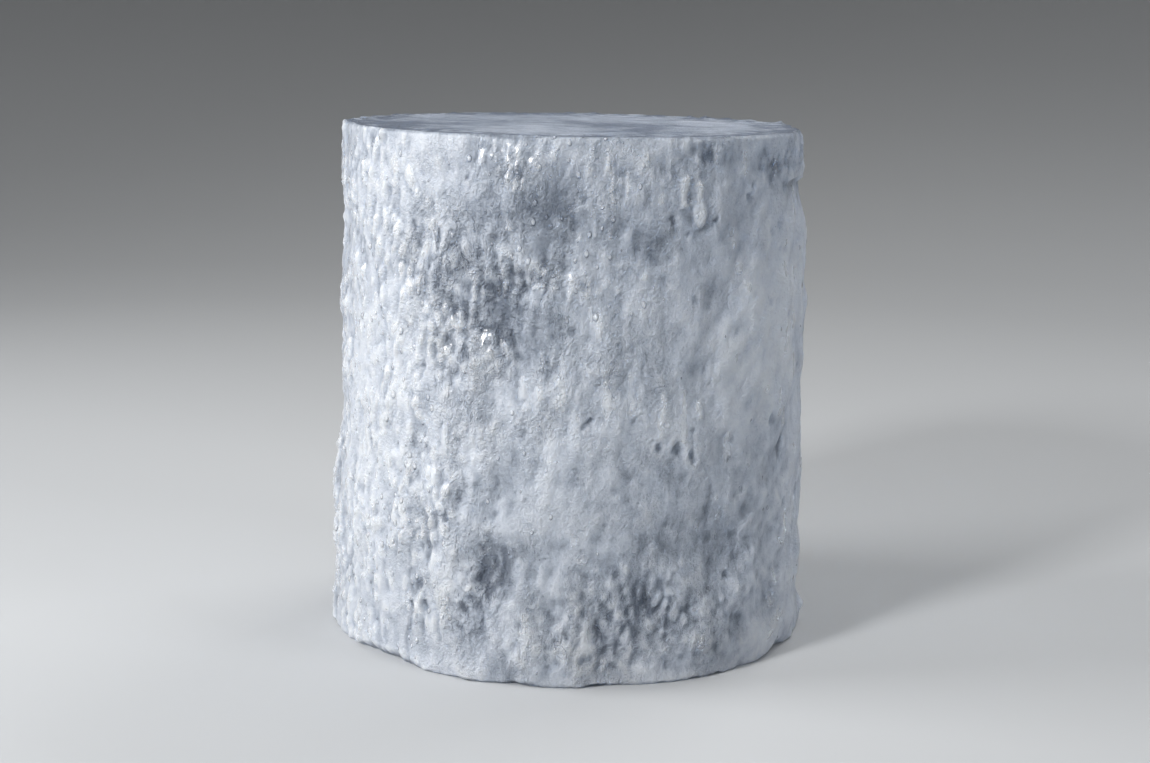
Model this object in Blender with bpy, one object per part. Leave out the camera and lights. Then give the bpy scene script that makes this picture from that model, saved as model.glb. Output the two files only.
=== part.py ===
"""A sawn section of an ice core, standing on its lower cut: one solid, its wall worn by melting.

Metres, +Z up, with the origin at the middle of the base. Angles run round the axis from the
front (-Y) towards +X, in degrees, and heights run up from the base.
"""

import math
from collections import namedtuple

import bmesh
import bpy
from mathutils import Vector, noise

MM = 0.001

# Driving dimensions
CORE_HEIGHT = 106.0 * MM
BASE_RADIUS = 50.2 * MM
TOP_RADIUS = 47.7 * MM
EDGE_BEVEL = 0.45 * MM

# Mesh density: columns round the wall, and its rings below and above the collar's foot. Melt runs
# downwards, so the columns are closer together than the rings.
COLUMNS = 150
RINGS_BELOW_FOOT = 25
RINGS_ABOVE_FOOT = 3
EDGE_RING = 3.3 * MM
MOST_CHIP_REACH = 2.5 * MM

# The drill's collar: the wall below it is cut back on one flank
COLLAR_ANGLE = 82.0
COLLAR_HALF_SPAN = 40.0
COLLAR_FOOT = 95.8 * MM
COLLAR_FOOT_SLOPE = 0.055 * MM
LEDGE_DEPTH = 1.5 * MM
LEDGE_RISE = 0.8 * MM
LEDGE_FADE = 5.0 * MM

# Melting leaves swells, lumps and runs, each drawn out downwards. The runs are deepest on the
# flank that the warmth came from.
SWELL_SIZE = Vector((24.0, 24.0, 34.0)) * MM
SWELL_HEIGHT = 0.35 * MM
LUMP_SIZE = Vector((5.5, 5.5, 11.0)) * MM
LUMP_HEIGHT = 0.55 * MM
RUN_SIZE = Vector((2.6, 2.6, 14.0)) * MM
RUN_HEIGHT = 0.65 * MM
WARM_ANGLE = -85.0
WARM_HALF_SPAN = 62.0
COOL_RUN_SHARE = 0.35
EDGE_LUMP_SIZE = 7.0 * MM
EDGE_RAGGEDNESS = 0.45

# A mark is a smooth rise (or, below nought, a dip) in the wall. Half width, half height and rise
# are in millimetres, and its top leans towards +X by lean degrees.
Mark = namedtuple("Mark", "angle height half_width half_height rise lean", defaults=[0.0])

FLANK_MARKS = (
    Mark(-84, 98.5, 15, 6.5, 0.55),
    Mark(-84, 84.5, 13, 5.5, -0.70),
    Mark(-84, 62.0, 14, 4.6, -1.00),
    Mark(-84, 45.0, 16, 6.5, -1.00),
    Mark(-84, 26.0, 18, 9.5, 0.80),
    Mark(-78, 2.5, 15, 5.0, 0.65),
    Mark(84, 91.0, 14, 7.0, -0.55),
    Mark(84, 82.0, 12, 3.6, 0.45),
    Mark(84, 61.0, 14, 8.0, 0.30),
    Mark(84, 46.0, 10, 4.0, 0.25),
    Mark(84, 8.0, 15, 5.5, -0.85),
)
FRONT_MARKS = (
    Mark(-17, 73.5, 3.6, 4.6, -1.10, 14),
    Mark(-14, 66.0, 2.4, 3.2, -0.60),
    Mark(-25, 64.0, 2.2, 2.6, -0.60),
    Mark(-29, 34.0, 3.2, 17.0, 0.55, -3),
    Mark(-38, 58.0, 9.0, 16.0, 0.35, 12),
    Mark(-21, 18.0, 2.8, 7.4, -1.15, 31),
    Mark(3, 11.0, 3.8, 7.0, 0.75, -10),
    Mark(9, 9.5, 2.2, 6.0, -0.70, -16),
    Mark(19, 16.0, 3.0, 3.0, -0.95),
    Mark(24, 46.5, 4.6, 2.2, -0.70),
    Mark(12, 52.0, 13.0, 5.0, 0.30),
    Mark(27.5, 94.5, 3.4, 4.6, 0.50),
    Mark(31, 103.0, 5.0, 2.4, -0.65),
    Mark(56, 49.5, 3.0, 2.2, -0.90),
    Mark(60.5, 43.0, 2.4, 2.8, -0.85),
    Mark(58, 66.0, 12.0, 12.0, 0.40),
    Mark(40, 30.0, 10.0, 12.0, -0.60),
    Mark(53, 6.0, 8.0, 4.0, 0.60),
    Mark(84, 4.4, 3.0, 1.6, 0.80),
)
BACK_MARKS = (
    Mark(112, 72.0, 6.0, 15.0, -0.80, -8),
    Mark(118, 32.0, 12.0, 10.0, 0.55),
    Mark(133, 88.0, 4.0, 8.0, 0.70),
    Mark(141, 54.0, 3.0, 6.0, -1.10, 20),
    Mark(150, 18.0, 4.5, 8.0, -0.90, -24),
    Mark(161, 74.0, 9.0, 13.0, 0.50),
    Mark(172, 38.0, 3.2, 4.0, -1.00),
    Mark(180, 97.0, 5.0, 4.0, -0.60),
    Mark(188, 60.0, 3.0, 14.0, 0.65, 5),
    Mark(200, 12.0, 10.0, 6.0, 0.55),
    Mark(207, 46.0, 5.0, 7.0, -0.95, 28),
    Mark(216, 83.0, 4.0, 5.0, -1.00),
    Mark(228, 26.0, 4.0, 10.0, -0.80, 12),
    Mark(238, 64.0, 8.0, 12.0, 0.45),
    Mark(250, 92.0, 3.4, 5.0, 0.60),
    Mark(254, 39.0, 3.2, 4.4, -0.80),
)

# A chip is broken off an edge: its bite runs inwards from the wall, its reach up or down it.
Chip = namedtuple("Chip", "angle half_span bite reach")

BASE_CHIPS = (
    Chip(-49, 15, 1.6, 1.5),
    Chip(61, 5, 1.6, 1.7),
    Chip(30, 6, 0.4, 0.4),
    Chip(-9, 5, 0.6, 0.5),
    Chip(128, 8, 1.8, 1.6),
    Chip(171, 5, 1.2, 1.0),
    Chip(222, 11, 2.0, 1.5),
)
TOP_CHIPS = (
    Chip(86, 22, 0.9, 1.3),
    Chip(32, 7, 0.8, 0.5),
    Chip(-16, 4, 0.5, 0.4),
    Chip(140, 9, 1.4, 1.1),
    Chip(196, 6, 1.0, 0.9),
    Chip(247, 10, 1.5, 1.2),
)

ICE_COLOUR = (0.74, 0.79, 0.86, 1.0)
ICE_ROUGHNESS = 0.28
ICE_IOR = 1.31
ICE_TRANSMISSION = 0.35


def turn_between(angle, other):
    """The turn from other to angle, from -180 to 180 degrees."""
    return (angle - other + 180.0) % 360.0 - 180.0


def smooth_step(share):
    share = min(max(share, 0.0), 1.0)
    return share * share * (3.0 - 2.0 * share)


def taper_radius(height):
    return BASE_RADIUS + (TOP_RADIUS - BASE_RADIUS) * height / CORE_HEIGHT


def on_wall(angle, height, radius):
    turn = math.radians(angle)
    return Vector((radius * math.sin(turn), -radius * math.cos(turn), height))


def stretched_noise(place, size):
    """Smooth noise from about -1 to 1, with waves of the given size along X, Y and Z."""
    return noise.noise(Vector((place.x / size.x, place.y / size.y, place.z / size.z)))


def mark_rise(mark, angle, height):
    across = math.radians(turn_between(angle, mark.angle)) * taper_radius(height)
    up = height - mark.height * MM
    lean = math.radians(mark.lean)
    along = up * math.cos(lean) + across * math.sin(lean)
    aside = across * math.cos(lean) - up * math.sin(lean)
    reach = (aside / (mark.half_width * MM)) ** 2 + (along / (mark.half_height * MM)) ** 2
    return mark.rise * MM * math.exp(-reach)


def collar_foot(angle):
    """The height of the collar's lower edge, which climbs away from its middle."""
    turn = min(abs(turn_between(angle, COLLAR_ANGLE)), COLLAR_HALF_SPAN)
    return COLLAR_FOOT + COLLAR_FOOT_SLOPE * turn


def ledge_cut(angle, height):
    """How far the wall stands back below the collar's foot."""
    turn = abs(turn_between(angle, COLLAR_ANGLE))
    share = smooth_step(1.5 * (1.0 - turn / COLLAR_HALF_SPAN))
    below = collar_foot(angle) - height
    fade = math.exp(-((max(below, 0.0) / LEDGE_FADE) ** 2))
    return LEDGE_DEPTH * share * smooth_step(below / LEDGE_RISE + 0.5) * fade


def run_share(angle):
    """How deep the runs are: 1 on the warm flank, and less on the cool side."""
    warmth = smooth_step(1.3 * (1.0 - abs(turn_between(angle, WARM_ANGLE)) / WARM_HALF_SPAN))
    return COOL_RUN_SHARE + (1.0 - COOL_RUN_SHARE) * warmth


def wall_radius(angle, height):
    radius = taper_radius(height)
    place = on_wall(angle, height, radius)
    radius += SWELL_HEIGHT * stretched_noise(place, SWELL_SIZE)
    radius += LUMP_HEIGHT * stretched_noise(place, LUMP_SIZE)
    radius += RUN_HEIGHT * run_share(angle) * stretched_noise(place, RUN_SIZE)
    for mark in FLANK_MARKS + FRONT_MARKS + BACK_MARKS:
        radius += mark_rise(mark, angle, height)
    return radius - ledge_cut(angle, height)


def wall_place(angle, height):
    return on_wall(angle, height, wall_radius(angle, height))


def chipped_edge(angle, chips):
    """(bite, reach) of the edge's bevel at this angle, with its chips."""
    bite, reach = EDGE_BEVEL, EDGE_BEVEL
    for chip in chips:
        share = smooth_step(1.6 * (1.0 - abs(turn_between(angle, chip.angle)) / chip.half_span))
        bite += share * chip.bite * MM
        reach += share * chip.reach * MM
    place = on_wall(angle, 0.0, TOP_RADIUS) / EDGE_LUMP_SIZE
    ragged = 1.0 + EDGE_RAGGEDNESS * noise.noise(place)
    return bite * ragged, min(reach * ragged, MOST_CHIP_REACH)


def evenly(low, high, count):
    return [low + (high - low) * step / (count - 1) for step in range(count)]


def ring_heights(angle):
    """Where the wall's rings cross this angle, with a ring on each side of the collar's foot."""
    foot = collar_foot(angle)
    below = evenly(EDGE_RING, foot - LEDGE_RISE / 2.0, RINGS_BELOW_FOOT)
    above = evenly(foot + LEDGE_RISE / 2.0, CORE_HEIGHT - EDGE_RING, RINGS_ABOVE_FOOT)
    return below + above


def add_ring(bm, place_at):
    return [bm.verts.new(place_at(360.0 * column / COLUMNS)) for column in range(COLUMNS)]


def bridge(bm, lower, upper):
    for column in range(COLUMNS):
        after = (column + 1) % COLUMNS
        bm.faces.new((lower[column], lower[after], upper[after], upper[column]))


def edge_rings(bm, chips, at_top):
    """(ring on the flat cut, ring on the wall) of one bevelled, chipped edge."""
    cut_height = CORE_HEIGHT if at_top else 0.0
    inwards = -1.0 if at_top else 1.0

    def on_cut(angle):
        bite, _ = chipped_edge(angle, chips)
        return on_wall(angle, cut_height, wall_radius(angle, cut_height) - bite)

    def beside_cut(angle):
        _, reach = chipped_edge(angle, chips)
        return wall_place(angle, cut_height + inwards * reach)

    return add_ring(bm, on_cut), add_ring(bm, beside_cut)


def core_mesh():
    bm = bmesh.new()
    base_cut, base_wall = edge_rings(bm, BASE_CHIPS, at_top=False)
    wall = []
    for ring in range(RINGS_BELOW_FOOT + RINGS_ABOVE_FOOT):
        wall.append(add_ring(bm, lambda angle: wall_place(angle, ring_heights(angle)[ring])))
    top_cut, top_wall = edge_rings(bm, TOP_CHIPS, at_top=True)
    rings = [base_cut, base_wall, *wall, top_wall, top_cut]
    for lower, upper in zip(rings, rings[1:]):
        bridge(bm, lower, upper)
    bm.faces.new(reversed(base_cut))
    bm.faces.new(top_cut)
    bmesh.ops.recalc_face_normals(bm, faces=bm.faces)
    mesh = bpy.data.meshes.new("ice_core")
    bm.to_mesh(mesh)
    bm.free()
    mesh.shade_smooth()
    mesh.set_sharp_from_angle(angle=math.radians(40.0))
    return mesh


def ice_material():
    material = bpy.data.materials.new("frosted_ice")
    material.use_nodes = True
    shader = material.node_tree.nodes["Principled BSDF"]
    shader.inputs["Base Color"].default_value = ICE_COLOUR
    shader.inputs["Metallic"].default_value = 0.0
    shader.inputs["Roughness"].default_value = ICE_ROUGHNESS
    shader.inputs["IOR"].default_value = ICE_IOR
    shader.inputs["Transmission Weight"].default_value = ICE_TRANSMISSION
    return material


def clear_scene():
    for obj in list(bpy.data.objects):
        bpy.data.objects.remove(obj, do_unlink=True)


def main():
    clear_scene()
    core = bpy.data.objects.new("ice_core", core_mesh())
    core.data.materials.append(ice_material())
    bpy.context.scene.collection.objects.link(core)


main()
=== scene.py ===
"""The looks of a sawn ice core: a melted, lumpy wall and two sawn faces round cloudy ice.

The core's surface is one closed mesh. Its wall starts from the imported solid, read along rays from
the axis, and the melt's lumps, grains, runs, drops and pits are added to it. Metres, +Z up. Angles
run round the axis from the front (-Y) towards +X, in degrees.
"""

import math
import random
from collections import namedtuple

import bpy
import numpy as np
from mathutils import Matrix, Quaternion, Vector, noise
from mathutils.bvhtree import BVHTree


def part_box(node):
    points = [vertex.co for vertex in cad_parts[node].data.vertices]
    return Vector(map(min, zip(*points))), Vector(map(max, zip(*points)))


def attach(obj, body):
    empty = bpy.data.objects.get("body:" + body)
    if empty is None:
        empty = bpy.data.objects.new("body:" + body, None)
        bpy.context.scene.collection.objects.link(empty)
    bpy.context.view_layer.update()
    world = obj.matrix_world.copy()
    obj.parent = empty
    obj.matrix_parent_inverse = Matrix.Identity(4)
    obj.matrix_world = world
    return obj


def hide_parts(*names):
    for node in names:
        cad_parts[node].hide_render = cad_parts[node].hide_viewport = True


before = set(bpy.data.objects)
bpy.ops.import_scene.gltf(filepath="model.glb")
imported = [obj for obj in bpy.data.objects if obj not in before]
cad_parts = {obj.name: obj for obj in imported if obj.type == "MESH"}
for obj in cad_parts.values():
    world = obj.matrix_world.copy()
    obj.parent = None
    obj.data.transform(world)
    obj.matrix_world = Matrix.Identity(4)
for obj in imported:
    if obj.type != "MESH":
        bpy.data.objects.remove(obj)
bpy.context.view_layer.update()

MM = 0.001
CORE_NODE = "ice_core"

BASE_CORNER, TOP_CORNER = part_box(CORE_NODE)
CORE_HEIGHT = TOP_CORNER.z
MEAN_RADIUS = (TOP_CORNER.x - BASE_CORNER.x + TOP_CORNER.y - BASE_CORNER.y) / 4.0

# The wall's mesh: columns round it, which are closest at the front, rings up it, and closer rings
# where it turns over its rims
COLUMNS = 544
FRONT_CROWDING = 0.28
RINGS = 137
RIM_RINGS = (0.0, 0.12 * MM, 0.3 * MM, 0.55 * MM, 0.9 * MM, 1.4 * MM)

# How far the solid's facets are smoothed away, which tapers off towards the rims
FACET_ACROSS = 1.1 * MM
FACET_UP = 1.9 * MM
RIM_BAND = 4.0 * MM

# The sawn faces' mesh: the size of its cells, at the rim and on each face
RIM_CELL = 0.4 * MM
TOP_CELL = 0.9 * MM
BASE_CELL = 1.8 * MM

# How far in from its rim a cut follows the rim's chips, is broken into crumbs and is mottled, and
# how high the clods in its mottled part stand
CHIPPED_RIM_WIDTH = 1.5 * MM
SAWN_RIM_WIDTH = 1.8 * MM
MOTTLED_RIM_WIDTH = 9.0 * MM
CLOD_RELIEF = 0.35 * MM

# How far the top rim's crumbs stand up at the front, how much more they do at the back, and how far
# nicks wear the base rim up, in millimetres
FRONT_CRUMBS = 0.12
BACK_CRUMBS = 0.6
BASE_NICKS = 0.9

# How far down the wall the top rim's crumbs fade out, and how far up it the base rim's nicks do
TOP_RIM_FADE = 1.3 * MM
BASE_RIM_FADE = 1.2 * MM

# The collar that the drill left under the top cut: its foot is a small crisp step
COLLAR_ANGLE = 82.0
COLLAR_HALF_SPAN = 40.0
COLLAR_FOOT = 95.8 * MM
COLLAR_FOOT_SLOPE = 0.055 * MM
COLLAR_STEP = 0.8 * MM
COLLAR_CRISP_SPAN = 20.0
COLLAR_SOFT_STEP = 7.0 * MM
COLLAR_WAVER = 0.9 * MM

# The warm flank, where the ice has run most. Its front edge is a soft ridge line
RidgePoint = namedtuple("RidgePoint", "height angle")
WARM_RIDGE = (
    RidgePoint(0, -31),
    RidgePoint(25, -28),
    RidgePoint(50, -27),
    RidgePoint(60, -25),
    RidgePoint(70, -23),
    RidgePoint(80, -30),
    RidgePoint(100, -42),
)
WARM_BACK_EDGE = -150.0
RIDGE_WAVER = 6.0

# How far the melt stands out, in millimetres, and how far the warm flank sinks between its beads
ROPE_RELIEF = 0.35
BEAD_RELIEF = 0.2
CLUMPED_BEAD_RELIEF = 0.7
WARM_SINK = 0.45
SWELL_RELIEF = 0.9
FOLD_RELIEF = 0.4
STREAK_RELIEF = 0.1
GRIT_RELIEF = 0.14
CRUMB_RELIEF = 0.45
SUGARY_FLAKE_RELIEF = 0.4
PLATE_RELIEF = 0.3
KNOB_RELIEF = 0.75

# The sector in which folds lean to +X, how far they do, and where the first plates come up
LEANING_FROM = 15.0
LEANING_TO = 130.0
FOLD_LEAN = 38.0
PLATES_FROM = 20.0 * MM

# Narrow crevices and broad hollows this deep get the darkest painted shade
CREVICE_SHADE_DEPTH = 0.25 * MM
HOLLOW_SHADE_DEPTH = 0.35 * MM

# Marks on the wall. Heights and sizes are in millimetres, and a lean of 30 tips the top towards +X
Patch = namedtuple("Patch", "angle height half_width half_height amount lean", defaults=[0.0])
Pit = namedtuple("Pit", "angle height half_width half_height depth lean", defaults=[0.0])
Run = namedtuple("Run", "angle top length width proud")
Drop = namedtuple("Drop", "angle height radius proud")

# Sugary patches, where the skin is broken into grains
SUGARY_PATCHES = (
    Patch(-33, 84, 9, 10, 0.8),
    Patch(-27, 70, 7, 10, 0.8),
    Patch(-16, 78, 9, 4, 1.0),
    Patch(-17, 66, 4, 8, 0.9),
    Patch(-9, 79, 8, 4, 0.7),
    Patch(-22, 47, 5, 8, 0.6),
    Patch(-34, 34, 6, 16, 0.6),
    Patch(-20, 19, 4, 9, 1.3, 30),
    Patch(-13, 101, 4, 5, 0.8),
    Patch(8, 100, 4, 5, 0.7),
    Patch(31, 103, 7, 3, 0.9),
    Patch(58, 101, 8, 3, 0.7),
    Patch(82, 101, 14, 5, 0.9),
    Patch(4, 10, 5, 8, 1.0),
    Patch(11, 7, 4, 5, 0.8),
    Patch(18, 15, 9, 7, 0.9),
    Patch(15, 62, 7, 8, 0.4),
    Patch(-6, 57, 3, 10, 0.4),
    Patch(30, 8, 8, 6, 0.6),
    Patch(26, 14, 24, 13, 0.45),
    Patch(-3, 10, 12, 10, 0.45),
    Patch(20, 34, 10, 8, 0.35),
    Patch(22, 46, 8, 4, 0.35),
    Patch(-120, 30, 20, 18, 0.8),
    Patch(-160, 78, 16, 12, 0.7),
    Patch(150, 40, 14, 20, 0.6),
    Patch(120, 92, 18, 7, 0.7),
    Patch(175, 12, 20, 7, 0.8),
)

# Where the wall is knobbly
KNOBBLY_PATCHES = (
    Patch(30, 12, 26, 14, 1.0),
    Patch(56, 30, 18, 22, 0.8),
    Patch(-4, 10, 12, 10, 0.5),
    Patch(60, 100, 16, 5, 0.9),
    Patch(30, 102, 9, 4, 0.8),
    Patch(52, 62, 14, 14, 0.2),
    Patch(130, 40, 26, 26, 0.8),
    Patch(-150, 60, 22, 20, 0.7),
)

# Where the skin has come up in thin flakes
FLAKY_PATCHES = (
    Patch(-27, 82, 12, 12, 0.8),
    Patch(-12, 77, 12, 7, 0.9),
    Patch(9, 62, 14, 12, 0.8),
    Patch(-10, 96, 14, 9, 0.5),
    Patch(18, 97, 14, 8, 0.45),
    Patch(10, 11, 24, 11, 0.6),
    Patch(40, 9, 16, 9, 0.5),
    Patch(-22, 18, 7, 11, 0.9),
    Patch(-31, 44, 7, 22, 0.5),
    Patch(66, 100, 14, 5, 0.8),
    Patch(130, 30, 20, 16, 0.6),
    Patch(-160, 70, 18, 18, 0.6),
)

# Where melt water stands on the wall in separate drops
DEWY_PATCHES = (
    Patch(-12, 101, 12, 6, 1.0),
    Patch(6, 99, 8, 7, 0.9),
    Patch(-6, 88, 16, 9, 0.9),
    Patch(4, 78, 14, 5, 0.6),
    Patch(20, 102, 12, 4, 0.4),
    Patch(-15, 72, 6, 10, 0.5),
    Patch(-48, 30, 18, 40, 0.7),
    Patch(-4, 44, 10, 10, 0.25),
    Patch(-130, 88, 40, 14, 0.8),
    Patch(160, 70, 30, 20, 0.4),
    Patch(110, 96, 20, 8, 0.5),
)

# Clear and so darker ice, below nought, and ice whitened by bubbles, above it. Some patches are
# painted
# light and shade instead: those over the bulges' hollows paint shade into them, those over
# swellings paint light onto them, and the broad patch at -52 paints the flank that faces the key
# light whiter
CLOUD_AND_SHADING_PATCHES = (
    Patch(-16, 74, 7, 6, -0.55, -10),
    Patch(-8, 71, 6, 9, -0.30),
    Patch(-3, 90, 17, 7, -0.65),
    Patch(25, 86, 14, 6, -0.35),
    Patch(33, 101, 7, 3, -0.30),
    Patch(57, 100, 7, 4, -0.40),
    Patch(-15, 20, 8, 8, -0.40, 25),
    Patch(2, 24, 12, 6, -0.20),
    Patch(20, 15, 9, 5, -0.50),
    Patch(9, 9, 3, 6, -0.45),
    Patch(27, 5, 6, 5, -0.40),
    Patch(38, 30, 12, 9, -0.35),
    Patch(46, 14, 6, 6, -0.15),
    Patch(60, 46, 5, 7, -0.45),
    Patch(82, 50, 5, 20, -0.35),
    Patch(48, 40, 9, 6, -0.20),
    Patch(54, 70, 14, 20, 0.55),
    Patch(55, 6, 12, 5, 0.35),
    Patch(3, 11, 4, 7, 0.35),
    Patch(-52, 50, 20, 60, 0.50),
    Patch(-27, 18, 3, 7, 0.50, 20),
    Patch(-22, 13, 5, 4, -0.45),
    Patch(-17, 22, 4, 5, -0.35, 30),
    Patch(-16, 7, 8, 7, -0.30),
    Patch(-19, 38, 6, 14, -0.25),
    Patch(-18, 96, 9, 8, -0.25),
    Patch(74, 82, 8, 18, 0.20),
)

# Broad swellings of the wall, and hollows where the amount is below nought, in millimetres
BULGES = (
    Patch(-9, 12, 8, 9, 0.8),
    Patch(-20, 18, 4, 8, -0.4, 20),
    Patch(8, 9, 3, 8, -0.7, -15),
    Patch(17, 13, 6, 6, -0.5),
    Patch(37, 9, 9, 7, 0.8),
    Patch(55, 5, 8, 5, 0.7),
    Patch(56, 66, 12, 12, 0.6),
    Patch(-17, 72, 5, 6, -0.9, -10),
    Patch(-31, 70, 6, 9, 0.6),
    Patch(-30, 42, 5, 12, 0.5),
    Patch(38, 30, 11, 9, -0.6),
    Patch(27, 52, 8, 7, 0.5),
    Patch(48, 44, 5, 6, -0.5, 30),
    Patch(-4, 90, 14, 6, -0.4),
    Patch(31, 101, 8, 3, -0.4),
    Patch(57, 100, 8, 3, -0.5),
    Patch(84, 102, 14, 5, -0.5),
    Patch(82, 88, 12, 5, 0.35),
    Patch(84, 4.5, 2.2, 1.8, 1.3),
    Patch(84, 70, 3.5, 2.5, 0.6),
)

PITS = (
    Pit(-24.5, 64.0, 1.0, 1.5, 0.8),
    Pit(-18.5, 77.5, 1.5, 0.7, 0.6, 60),
    Pit(-13.0, 66.5, 0.8, 2.6, 0.6, -30),
    Pit(20.5, 47.0, 0.8, 1.1, 0.9, -20),
    Pit(25.0, 46.6, 1.1, 1.3, 1.1, -20),
    Pit(28.7, 44.8, 0.8, 1.4, 1.0, -25),
    Pit(18.5, 16.5, 1.2, 0.9, 1.0),
    Pit(19.5, 14.6, 0.9, 1.0, 0.9),
    Pit(8.2, 9.5, 0.7, 2.4, 0.7, -20),
    Pit(7.2, 4.2, 0.9, 0.9, 0.7),
    Pit(56.0, 49.5, 1.4, 1.3, 0.7, 30),
    Pit(60.8, 43.0, 0.9, 2.0, 0.7),
    Pit(39.5, 20.0, 0.7, 0.8, 0.8),
    Pit(3.6, 52.0, 0.5, 1.7, 0.7, 45),
    Pit(23.0, 90.4, 0.4, 1.1, 0.7, -60),
    Pit(33.8, 90.0, 0.35, 1.0, 0.7, 40),
    Pit(-38.0, 13.0, 0.5, 1.2, 0.7, -50),
    Pit(45.5, 94.2, 0.7, 0.9, 0.7),
    Pit(47.0, 96.6, 0.6, 0.7, 0.6),
    Pit(-33.0, 25.0, 0.7, 2.6, 0.7),
    Pit(-36.0, 17.5, 0.9, 1.6, 0.8),
    Pit(-19.5, 21.0, 0.8, 2.2, 0.6, 20),
    Pit(-16.5, 23.5, 0.8, 1.4, 0.6, 20),
    Pit(-24.0, 14.5, 1.4, 0.6, 0.6, 70),
    Pit(-30.0, 10.0, 0.5, 2.6, 0.5),
    Pit(24.0, 3.5, 1.1, 1.1, 0.6),
    Pit(35.0, 5.6, 1.3, 0.6, 0.6, 60),
    Pit(60.0, 8.6, 0.8, 0.8, 0.5),
)

RUNS = (
    Run(25.5, 99.0, 6.4, 1.8, 0.85),
    Run(29.5, 98.0, 8.6, 2.5, 0.85),
    Run(-21.5, 105.2, 5.0, 1.0, 0.40),
    Run(-18.6, 105.4, 2.6, 0.8, 0.35),
    Run(-15.0, 105.2, 3.0, 0.8, 0.35),
    Run(-12.6, 105.3, 6.0, 0.9, 0.30),
    Run(-14.6, 102.0, 4.6, 1.2, 0.45),
    Run(-12.8, 100.0, 4.2, 1.0, 0.40),
    Run(-11.4, 98.4, 2.4, 0.9, 0.40),
    Run(7.4, 104.0, 4.4, 1.0, 0.35),
    Run(8.6, 102.0, 8.0, 0.9, 0.35),
    Run(16.6, 103.6, 2.4, 0.9, 0.45),
    Run(12.0, 100.0, 6.0, 1.0, 0.22),
    Run(4.6, 91.5, 4.0, 0.8, 0.30),
    Run(1.4, 88.5, 1.8, 0.8, 0.40),
    Run(-0.4, 80.0, 4.6, 0.8, 0.28),
    Run(3.4, 80.0, 4.0, 0.8, 0.28),
    Run(-14.6, 91.0, 2.6, 1.2, 0.50),
    Run(-8.4, 80.0, 2.4, 0.9, 0.35),
    Run(21.0, 58.0, 9.0, 1.4, 0.16),
    Run(26.5, 58.0, 10.0, 1.5, 0.16),
    Run(14.0, 62.0, 9.0, 1.6, 0.16),
    Run(8.0, 61.0, 8.0, 1.5, 0.14),
    Run(-2.0, 66.0, 12.0, 1.7, 0.16),
    Run(-6.5, 66.0, 10.0, 1.3, 0.16),
    Run(31.0, 56.0, 4.0, 1.2, 0.35),
)

DROPS = (
    Drop(-16.5, 85.2, 1.1, 0.40),
    Drop(-8.6, 81.6, 1.2, 0.45),
    Drop(-3.2, 80.2, 1.1, 0.40),
    Drop(0.2, 79.0, 0.9, 0.40),
    Drop(4.4, 92.4, 0.9, 0.35),
    Drop(-7.6, 101.5, 1.6, 0.35),
    Drop(-5.0, 102.0, 1.0, 0.30),
    Drop(-10.4, 104.0, 0.8, 0.35),
    Drop(5.6, 77.4, 0.8, 0.40),
    Drop(10.0, 77.6, 0.8, 0.35),
    Drop(3.4, 99.4, 0.8, 0.45),
    Drop(9.0, 56.0, 1.2, 0.30),
    Drop(-11.0, 47.0, 0.8, 0.25),
    Drop(-4.0, 45.0, 0.7, 0.25),
)

# How far a mark's outline strays, how wet runs and drops are, and how white runs are
MARK_STRAY = 0.7 * MM
RUN_WETNESS = 0.8
RUN_WHITENESS = 0.4

# The small marks that lie anywhere, all round the wall
SCATTER_SEED = 41
SCATTERED_RUNS = 110
SCATTERED_DROPS = 160
SCATTERED_PITS = 150


# ---------------------------------------------------------------- the wall as a sheet of radii

class Wall:
    """The wall as a radius for each place on a grid of rings and columns."""

    def __init__(self, angles, heights, radius):
        self.angles, self.heights, self.radius = angles, heights, radius
        self.angle, self.height = np.meshgrid(angles, heights)
        self.places = self.leaning(0.0)
        self.stray_across = MARK_STRAY * waves(self.places, (2.2, 2.2, 2.2), shift=61.0)
        self.stray_up = MARK_STRAY * waves(self.places, (2.2, 2.2, 2.2), shift=67.0)
        self.wetness = np.zeros_like(radius)
        self.whitening_and_painted_glints = np.zeros_like(radius)
        self.skin = {}

    def leaning(self, lean):
        """The grid's places on a round wall, turned so that a pattern read there tips to +X."""
        turn = np.radians(self.angle) - self.height * math.tan(math.radians(lean)) / MEAN_RADIUS
        return np.stack(
            (MEAN_RADIUS * np.sin(turn), -MEAN_RADIUS * np.cos(turn), self.height), axis=-1
        )

    def near(self, angle, height, reach, lean=0.0):
        """The grid's cells within reach of a place, and how far across and up from it they are.

        The distances stray a little, so that no mark has a ruled outline.
        """
        aside = np.radians(turn_between(self.angles, angle)) * MEAN_RADIUS
        columns = np.flatnonzero(np.abs(aside) <= reach)
        rings = np.flatnonzero(np.abs(self.heights - height) <= reach)
        across, up = np.meshgrid(aside[columns], self.heights[rings] - height)
        cells = np.ix_(rings, columns)
        across, up = across + self.stray_across[cells], up + self.stray_up[cells]
        tip = math.radians(lean)
        tipped_across = across * math.cos(tip) - up * math.sin(tip)
        tipped_up = up * math.cos(tip) + across * math.sin(tip)
        return cells, tipped_across, tipped_up


def turn_between(angle, other):
    """The shortest turn from other to angle, in degrees."""
    return (angle - other + 180.0) % 360.0 - 180.0


def smooth_step(share):
    """0 up to a share of 0, 1 from a share of 1, and a soft rise between them."""
    share = np.clip(share, 0.0, 1.0)
    return share * share * (3.0 - 2.0 * share)


def waves(places, size, basis="PERLIN_ORIGINAL", shift=0.0):
    """Noise at each place. size is a wave's length in millimetres along X, Y and Z.

    A shift of its own keeps one noise apart from another of the same size.
    """
    scaled = (places.reshape(-1, 3) / (np.array(size) * MM) + shift).tolist()
    found = [noise.noise(place, noise_basis=basis) for place in scaled]
    return np.array(found).reshape(places.shape[:-1])


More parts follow.
